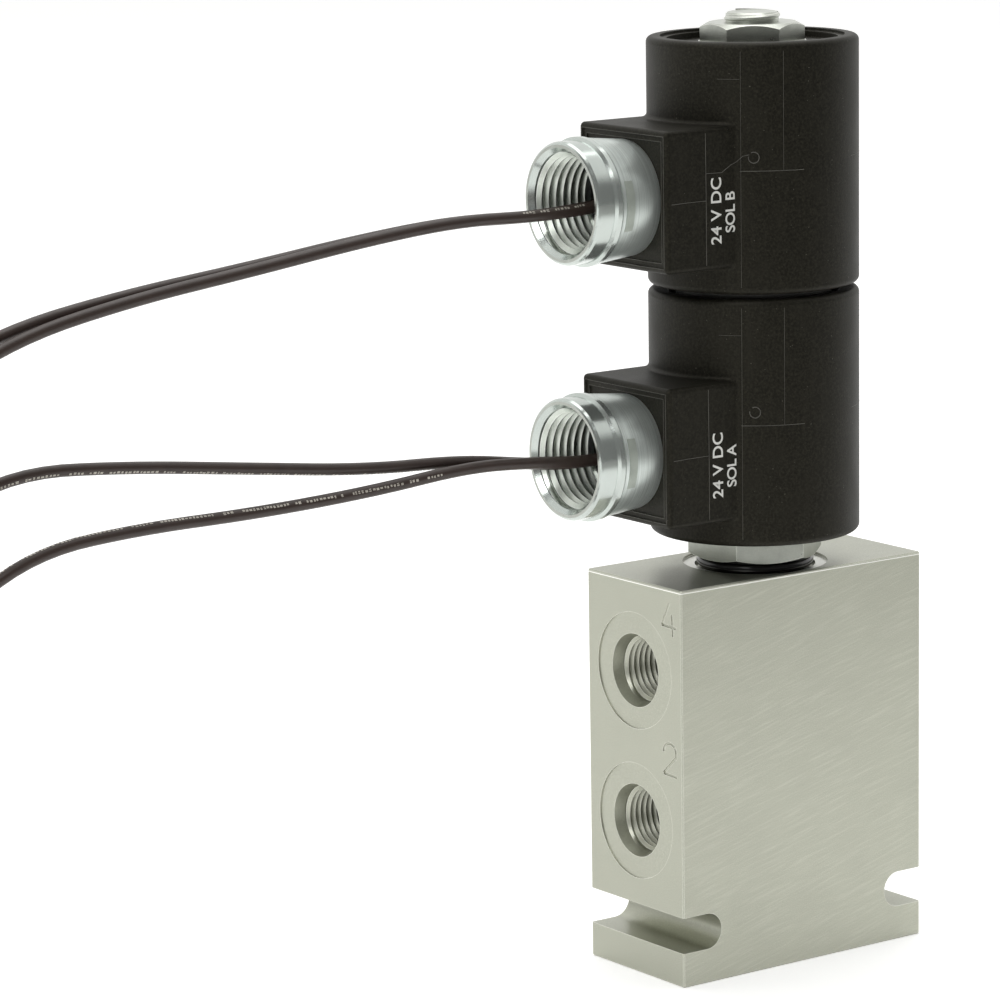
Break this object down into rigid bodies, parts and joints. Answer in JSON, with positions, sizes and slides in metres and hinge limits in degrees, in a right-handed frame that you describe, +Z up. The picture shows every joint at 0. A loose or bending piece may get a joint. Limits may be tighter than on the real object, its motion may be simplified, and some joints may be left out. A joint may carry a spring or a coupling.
{
  "type": "solenoid directional valve",
  "caption": "Directional control valve: a spool cartridge in a ported metal block, shifted by stacked solenoid coils with conduit hubs and flying leads.",
  "frame": {"origin": "centre of the block's underside", "axes": "+Z up along the cartridge's axis; +X along the block's length, away from the conduit hubs; +Y through the block's width"},
  "size_m": [0.2913, 0.072, 0.2023],
  "materials": {
    "block_aluminium": "saw and mill finish, satin",
    "zinc_plate": "bright zinc plate on machined steel",
    "hub_zinc": "bright zinc plate, faint blue-green",
    "ground_steel": "ground and lapped steel",
    "tube_stainless": "drawn stainless steel",
    "magnet_steel": "turned low-carbon steel, lightly oiled",
    "spring_steel": "music wire",
    "black_moulding": "glass-filled nylon, mottled matte black",
    "bobbin_nylon": "natural nylon",
    "copper_wire": "enamelled copper wire, layer wound",
    "seal_rubber": "oiled nitrile rubber",
    "backup_ptfe": "PTFE",
    "potting_compound": "cast resin",
    "lead_jacket": "dark brown cross-linked polyethylene",
    "tinned_strand": "tinned copper strands",
    "tie_nylon": "black nylon"
  },
  "bodies": {
    "valve": {"valve_block": "block_aluminium", "cartridge_hex_adapter": "zinc_plate", "adapter_o_ring": "seal_rubber", "ported_cage": "ground_steel", "upper_cage_o_ring": "seal_rubber", "upper_cage_backup_ring": "backup_ptfe", "middle_cage_o_ring": "seal_rubber", "middle_cage_backup_ring": "backup_ptfe", "lower_cage_o_ring": "seal_rubber", "lower_cage_backup_ring": "backup_ptfe", "guide_tube": "tube_stainless", "lower_pole": "magnet_steel", "upper_pole_stud": "zinc_plate", "spring_retainer": "ground_steel", "lower_centring_spring": "spring_steel", "upper_centring_spring": "spring_steel", "coil_nut": "zinc_plate", "nut_washer": "zinc_plate", "coil_spacer": "magnet_steel"},
    "spool_stack": {"spool": "ground_steel", "push_rod": "tube_stainless", "lower_armature": "magnet_steel", "upper_armature": "magnet_steel"},
    "lower_coil": {"lower_coil_housing": "black_moulding", "lower_flux_shell": "magnet_steel", "lower_bottom_flux_washer": "magnet_steel", "lower_top_flux_washer": "magnet_steel", "lower_bobbin": "bobbin_nylon", "lower_winding": "copper_wire", "lower_conduit_hub": "hub_zinc", "lower_lead_potting": "potting_compound", "lower_lead_a": "lead_jacket", "lower_lead_b": "lead_jacket", "lower_lead_turns": "lead_jacket", "lower_lead_tie": "tie_nylon", "lower_lead_a_end": "tinned_strand", "lower_lead_b_end": "tinned_strand"},
    "upper_coil": {"upper_coil_housing": "black_moulding", "upper_flux_shell": "magnet_steel", "upper_bottom_flux_washer": "magnet_steel", "upper_top_flux_washer": "magnet_steel", "upper_bobbin": "bobbin_nylon", "upper_winding": "copper_wire", "upper_conduit_hub": "hub_zinc", "upper_lead_potting": "potting_compound", "upper_lead_a": "lead_jacket", "upper_lead_b": "lead_jacket", "upper_lead_turns": "lead_jacket", "upper_lead_tie": "tie_nylon", "upper_lead_a_end": "tinned_strand", "upper_lead_b_end": "tinned_strand"}
  },
  "joints": [
    {"name": "spool_shift", "type": "slide", "parent": "valve", "child": "spool_stack", "axis": [0, 0, 1], "range_m": [-0.002, 0.002], "stiffness_N_per_m": 4000, "deforming": ["lower_centring_spring", "upper_centring_spring"]},
    {"name": "lower_coil_swivel", "type": "hinge", "parent": "valve", "child": "lower_coil", "pos_m": [0, 0, 0.1184], "axis": [0, 0, 1], "continuous": true},
    {"name": "upper_coil_swivel", "type": "hinge", "parent": "valve", "child": "upper_coil", "pos_m": [0, 0, 0.1715], "axis": [0, 0, 1], "continuous": true}
  ]
}
